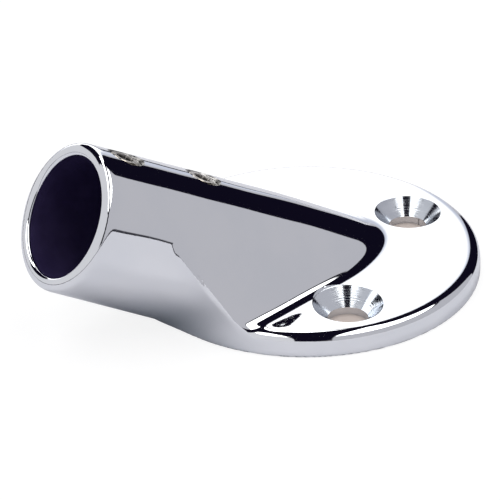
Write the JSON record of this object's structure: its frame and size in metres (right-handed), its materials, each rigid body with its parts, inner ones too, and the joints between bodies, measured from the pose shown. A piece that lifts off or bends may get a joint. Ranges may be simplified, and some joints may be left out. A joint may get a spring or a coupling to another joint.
{
  "type": "stanchion base",
  "caption": "Round deck flange with a tubular socket inclined over its rim, side fairings, countersunk deck screw holes and set screws that clamp a rail tube.",
  "frame": {"origin": "centre of the round flange's flat underside, on the deck", "axes": "+Z away from the deck; -X towards the socket's open mouth; +Y completes the right-handed frame; the part is symmetric about the XZ plane"},
  "size_m": [0.0922, 0.068, 0.0379],
  "materials": {
    "polished_chrome": "mirror polished and chrome plated",
    "screw_steel": "plain machined stainless steel"
  },
  "bodies": {
    "base": {"casting": "polished_chrome"},
    "outer_screw": {"set_screw_outer": "screw_steel"},
    "inner_screw": {"set_screw_inner": "screw_steel"}
  },
  "joints": [
    {"name": "outer_screw_travel", "type": "slide", "parent": "base", "child": "outer_screw", "axis": [0.5, 0, 0.866], "range_m": [-0.001, 0.002]},
    {"name": "inner_screw_travel", "type": "slide", "parent": "base", "child": "inner_screw", "axis": [0.5, 0, 0.866], "range_m": [-0.001, 0.002]}
  ]
}
